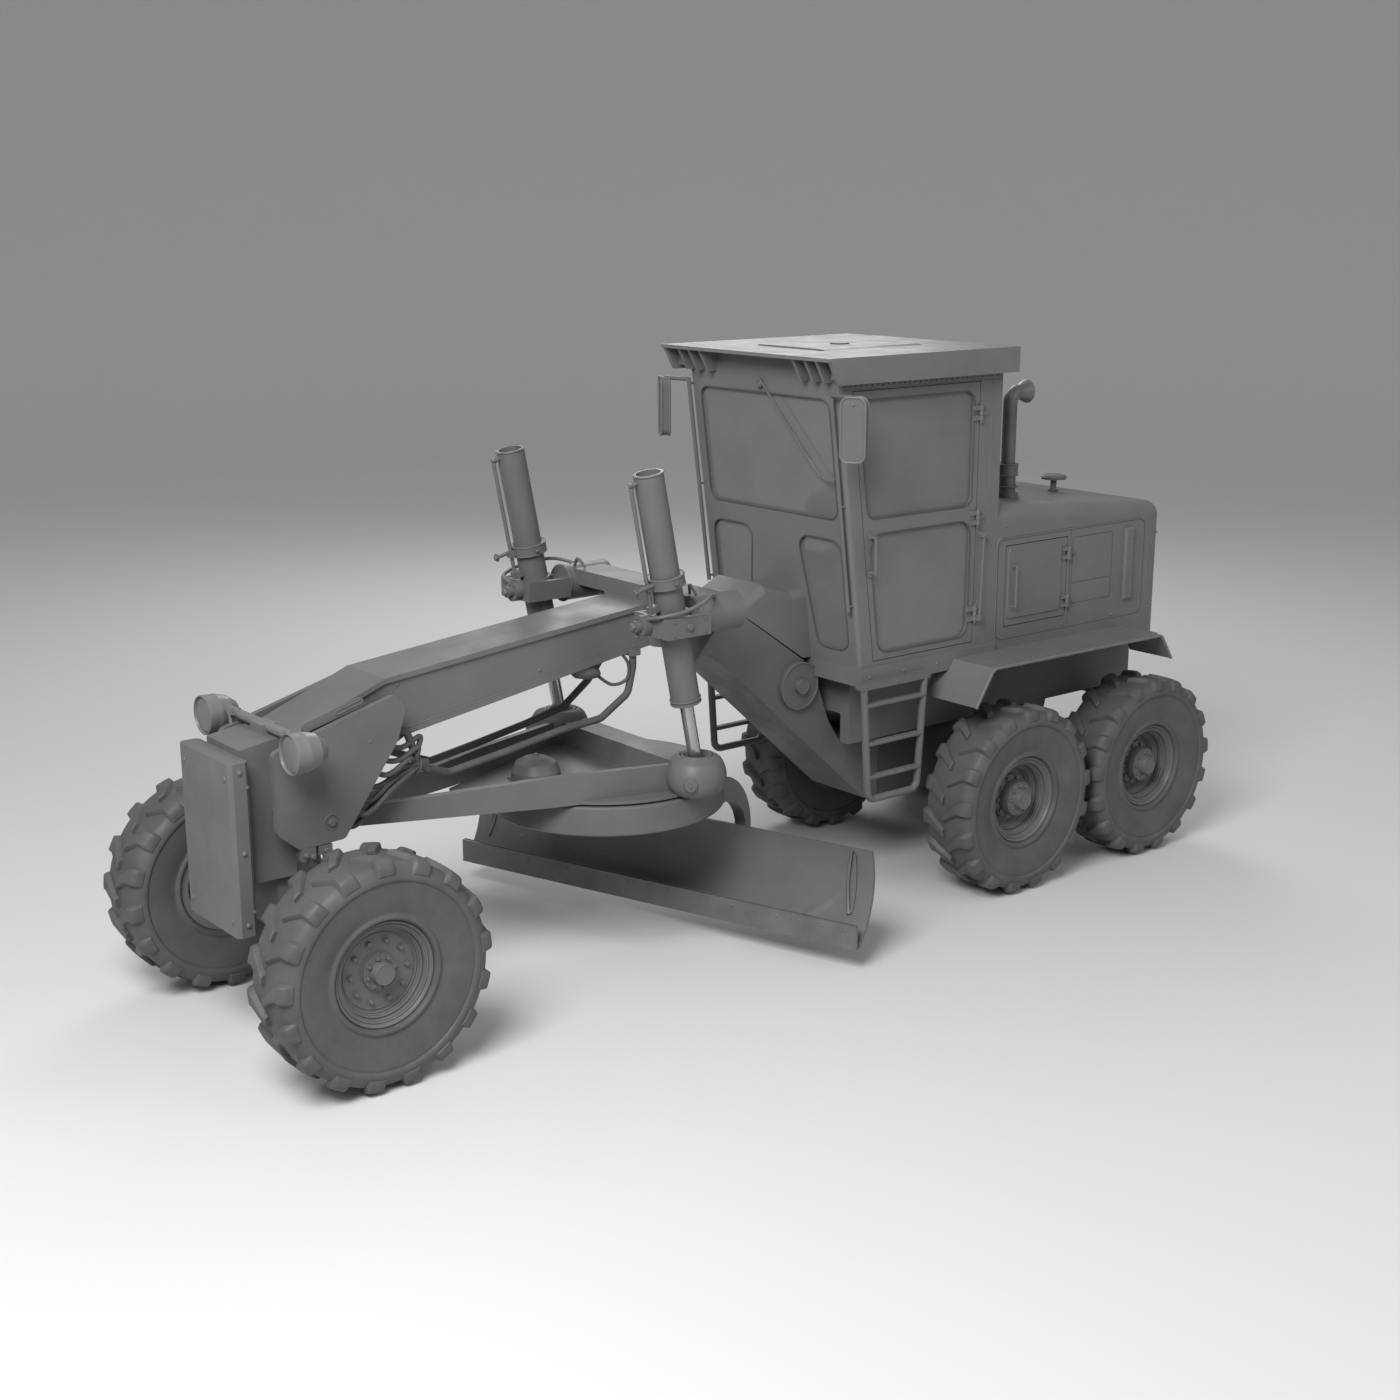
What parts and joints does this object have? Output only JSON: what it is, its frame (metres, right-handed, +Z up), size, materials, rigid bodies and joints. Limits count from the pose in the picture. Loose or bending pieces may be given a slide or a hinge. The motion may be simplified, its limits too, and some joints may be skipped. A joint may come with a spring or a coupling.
{
  "type": "motor grader",
  "caption": "Motor grader with a long front frame, a turning blade under it, an upright cab, a low engine hood and tandem rear wheels.",
  "frame": {"origin": "on the ground under the middle of the bounding box", "axes": "the machine faces -Y, its left side is +X and up is +Z"},
  "size_m": [2.9208, 7.332, 3.578],
  "materials": {
    "bare_steel": "worn",
    "body_paint": "satin",
    "console_plastic": "matt",
    "dark_metal": "rough",
    "frame_paint": "satin",
    "hose_rubber": "matt",
    "lamp_shell": "satin",
    "rim_paint": "satin",
    "rod_chrome": "polished",
    "seat_cover": "soft",
    "stack_metal": "satin",
    "tyre": "matt",
    "window_glass": "clear"
  },
  "bodies": {
    "frame": {"gooseneck": "frame_paint", "front_beam": "frame_paint", "front_head": "frame_paint", "push_block": "frame_paint", "head_lamps": "lamp_shell", "front_axle": "frame_paint", "rear_frame": "frame_paint", "rear_drive": "dark_metal", "tandem_cases": "frame_paint", "lift_carrier": "frame_paint", "cab_floor": "body_paint", "cab_front_wall": "body_paint", "cab_rear_wall": "body_paint", "cab_side_frames": "body_paint", "cab_roof": "body_paint", "cab_glass": "window_glass", "operator_seat": "seat_cover", "control_console": "console_plastic", "mirrors": "frame_paint", "hood": "body_paint", "engine_block": "dark_metal", "fenders": "body_paint", "ladders": "frame_paint", "exhaust_stack": "stack_metal", "hydraulic_hoses": "hose_rubber"},
    "wheel_front_left": {"tyre_front_left": "tyre", "rim_front_left": "rim_paint"},
    "wheel_front_right": {"tyre_front_right": "tyre", "rim_front_right": "rim_paint"},
    "wheel_mid_left": {"tyre_mid_left": "tyre", "rim_mid_left": "rim_paint"},
    "wheel_mid_right": {"tyre_mid_right": "tyre", "rim_mid_right": "rim_paint"},
    "wheel_rear_left": {"tyre_rear_left": "tyre", "rim_rear_left": "rim_paint"},
    "wheel_rear_right": {"tyre_rear_right": "tyre", "rim_rear_right": "rim_paint"},
    "knuckle_left": {"knuckle_left": "frame_paint"},
    "lift_barrel_left": {"lift_barrel_left": "frame_paint"},
    "lift_rod_left": {"lift_rod_left": "rod_chrome"},
    "cab_door_left": {"cab_door_left": "body_paint", "door_glass_left": "window_glass", "door_handle_left": "body_paint"},
    "hood_door_left": {"hood_door_left": "body_paint"},
    "knuckle_right": {"knuckle_right": "frame_paint"},
    "lift_barrel_right": {"lift_barrel_right": "frame_paint"},
    "lift_rod_right": {"lift_rod_right": "rod_chrome"},
    "cab_door_right": {"cab_door_right": "body_paint", "door_glass_right": "window_glass", "door_handle_right": "body_paint"},
    "hood_door_right": {"hood_door_right": "body_paint"},
    "tie_rod": {"tie_rod": "frame_paint"},
    "drawbar": {"drawbar": "frame_paint"},
    "circle": {"circle": "frame_paint"},
    "blade": {"blade": "frame_paint", "cutting_edge": "bare_steel"}
  },
  "joints": [
    {"name": "wheel_front_left_spin", "type": "hinge", "parent": "knuckle_left", "child": "wheel_front_left", "pos_m": [0.9, -3.0345, 0.63], "axis": [1, 0, 0], "continuous": true},
    {"name": "wheel_front_right_spin", "type": "hinge", "parent": "knuckle_right", "child": "wheel_front_right", "pos_m": [-0.9, -3.0345, 0.63], "axis": [1, 0, 0], "continuous": true},
    {"name": "wheel_mid_left_spin", "type": "hinge", "parent": "frame", "child": "wheel_mid_left", "pos_m": [0.92, 1.7495, 0.63], "axis": [1, 0, 0], "continuous": true},
    {"name": "wheel_mid_right_spin", "type": "hinge", "parent": "frame", "child": "wheel_mid_right", "pos_m": [-0.92, 1.7495, 0.63], "axis": [1, 0, 0], "continuous": true},
    {"name": "wheel_rear_left_spin", "type": "hinge", "parent": "frame", "child": "wheel_rear_left", "pos_m": [0.92, 3.0345, 0.63], "axis": [1, 0, 0], "continuous": true},
    {"name": "wheel_rear_right_spin", "type": "hinge", "parent": "frame", "child": "wheel_rear_right", "pos_m": [-0.92, 3.0345, 0.63], "axis": [1, 0, 0], "continuous": true},
    {"name": "steer_left", "type": "hinge", "parent": "frame", "child": "knuckle_left", "pos_m": [0.6, -3.0345, 0.63], "axis": [0, 0, 1], "range_deg": [-35, 35]},
    {"name": "steer_right", "type": "hinge", "parent": "frame", "child": "knuckle_right", "pos_m": [-0.6, -3.0345, 0.63], "axis": [0, 0, 1], "range_deg": [-35, 35]},
    {"name": "tie_rod_turn", "type": "hinge", "parent": "knuckle_left", "child": "tie_rod", "pos_m": [0.6, -2.8445, 0.469], "axis": [0, 0, 1], "range_deg": [-35, 35]},
    {"name": "drawbar_lift", "type": "hinge", "parent": "frame", "child": "drawbar", "pos_m": [0, -2.9245, 1.16], "axis": [1, 0, 0], "range_deg": [-3.5, 8]},
    {"name": "lift_barrel_left_tilt", "type": "hinge", "parent": "frame", "child": "lift_barrel_left", "pos_m": [0.69, -0.8945, 2.12], "axis": [1, 0, 0], "range_deg": [-1.5, 3.2]},
    {"name": "lift_barrel_right_tilt", "type": "hinge", "parent": "frame", "child": "lift_barrel_right", "pos_m": [-0.69, -0.8945, 2.12], "axis": [1, 0, 0], "range_deg": [-1.5, 3.2]},
    {"name": "lift_rod_left_slide", "type": "slide", "parent": "lift_barrel_left", "child": "lift_rod_left", "axis": [0, -0.1919, 0.9814], "range_m": [-0.14, 0.31]},
    {"name": "lift_rod_right_slide", "type": "slide", "parent": "lift_barrel_right", "child": "lift_rod_right", "axis": [0, -0.1919, 0.9814], "range_m": [-0.14, 0.31]},
    {"name": "circle_turn", "type": "hinge", "parent": "drawbar", "child": "circle", "pos_m": [0, -0.8705, 0.975], "axis": [0, 0, 1], "range_deg": [-40, 20]},
    {"name": "blade_side_shift", "type": "slide", "parent": "circle", "child": "blade", "axis": [0.9505, 0.3107, 0], "range_m": [-0.25, 0.25]},
    {"name": "cab_door_left_swing", "type": "hinge", "parent": "frame", "child": "cab_door_left", "pos_m": [0.714, 1.5845, 2.5], "axis": [0, 0, 1], "range_deg": [0, 80]},
    {"name": "hood_door_left_swing", "type": "hinge", "parent": "frame", "child": "hood_door_left", "pos_m": [0.714, 2.4945, 1.985], "axis": [0, 0, 1], "range_deg": [0, 80]},
    {"name": "cab_door_right_swing", "type": "hinge", "parent": "frame", "child": "cab_door_right", "pos_m": [-0.714, 1.5845, 2.5], "axis": [0, 0, -1], "range_deg": [0, 80]},
    {"name": "hood_door_right_swing", "type": "hinge", "parent": "frame", "child": "hood_door_right", "pos_m": [-0.714, 2.4945, 1.985], "axis": [0, 0, -1], "range_deg": [0, 80]}
  ],
  "couplings": [
    {"joint": "steer_right", "follows": "steer_left", "ratio": 1},
    {"joint": "tie_rod_turn", "follows": "steer_left", "ratio": -1},
    {"joint": "lift_barrel_left_tilt", "follows": "drawbar_lift", "ratio": 0.365},
    {"joint": "lift_rod_left_slide", "follows": "drawbar_lift", "m_per_rad": 2.185},
    {"joint": "lift_barrel_right_tilt", "follows": "drawbar_lift", "ratio": 0.365},
    {"joint": "lift_rod_right_slide", "follows": "drawbar_lift", "m_per_rad": 2.185}
  ]
}
